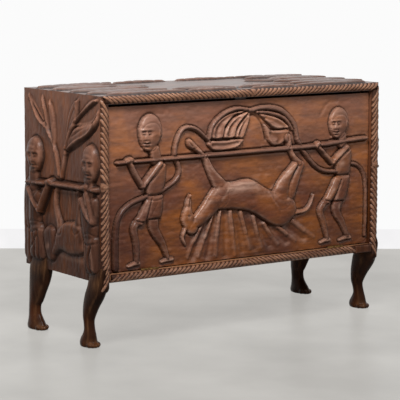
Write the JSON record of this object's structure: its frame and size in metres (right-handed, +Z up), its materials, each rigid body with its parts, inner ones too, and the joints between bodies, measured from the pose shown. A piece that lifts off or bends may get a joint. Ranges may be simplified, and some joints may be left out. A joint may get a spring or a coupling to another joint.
{
  "type": "carved fall-front chest",
  "caption": "Plank-built hardwood chest on carved human legs, with a carved fall front on bottom hinges, slotted stays and rope-carved edges.",
  "frame": {"origin": "on the floor, under the middle of the chest's box", "axes": "+X to the viewer's right along the front, +Y from the front to the back, +Z up"},
  "size_m": [1.048, 0.43, 0.718],
  "materials": {
    "carved_wood": "waxed dark red-brown hardwood, worn paler on high places",
    "plain_wood": "plain sawn hardwood, unpolished",
    "brass": "dull, darkened brass",
    "steel": "plain zinc-coated plate",
    "catch_plastic": "brown moulded case"
  },
  "bodies": {
    "case": {"top_board": "carved_wood", "left_end_plank": "carved_wood", "right_end_plank": "carved_wood", "bottom_board": "carved_wood", "back_board_lower": "plain_wood", "back_board_middle": "plain_wood", "back_board_upper": "plain_wood", "left_flap_stop": "plain_wood", "right_flap_stop": "plain_wood", "left_mitre_spline": "plain_wood", "right_mitre_spline": "plain_wood", "left_glue_blocks": "plain_wood", "right_glue_blocks": "plain_wood", "left_hinge_case_leaf": "brass", "right_hinge_case_leaf": "brass", "left_hinge_pin": "brass", "right_hinge_pin": "brass", "left_stay_stud": "brass", "right_stay_stud": "brass", "catch_poles": "steel", "catch_body": "catch_plastic"},
    "flap": {"fall_front": "carved_wood", "left_hinge_flap_leaf": "brass", "right_hinge_flap_leaf": "brass", "left_stay_lug": "brass", "right_stay_lug": "brass", "catch_keeper": "steel"},
    "left_stay": {"left_stay_arm": "brass"},
    "right_stay": {"right_stay_arm": "brass"}
  },
  "joints": [
    {"name": "fall_front_hinge", "type": "hinge", "parent": "case", "child": "flap", "pos_m": [0, -0.198, 0.2152], "axis": [1, 0, 0], "range_deg": [0, 90]},
    {"name": "left_stay_pivot", "type": "hinge", "parent": "flap", "child": "left_stay", "pos_m": [-0.45425, -0.163, 0.40231], "axis": [1, 0, 0], "range_deg": [-45, 0]},
    {"name": "right_stay_pivot", "type": "hinge", "parent": "flap", "child": "right_stay", "pos_m": [0.45425, -0.163, 0.40231], "axis": [1, 0, 0], "range_deg": [-45, 0]}
  ],
  "couplings": [
    {"joint": "left_stay_pivot", "follows": "fall_front_hinge", "ratio": -0.5},
    {"joint": "right_stay_pivot", "follows": "fall_front_hinge", "ratio": -0.5}
  ]
}
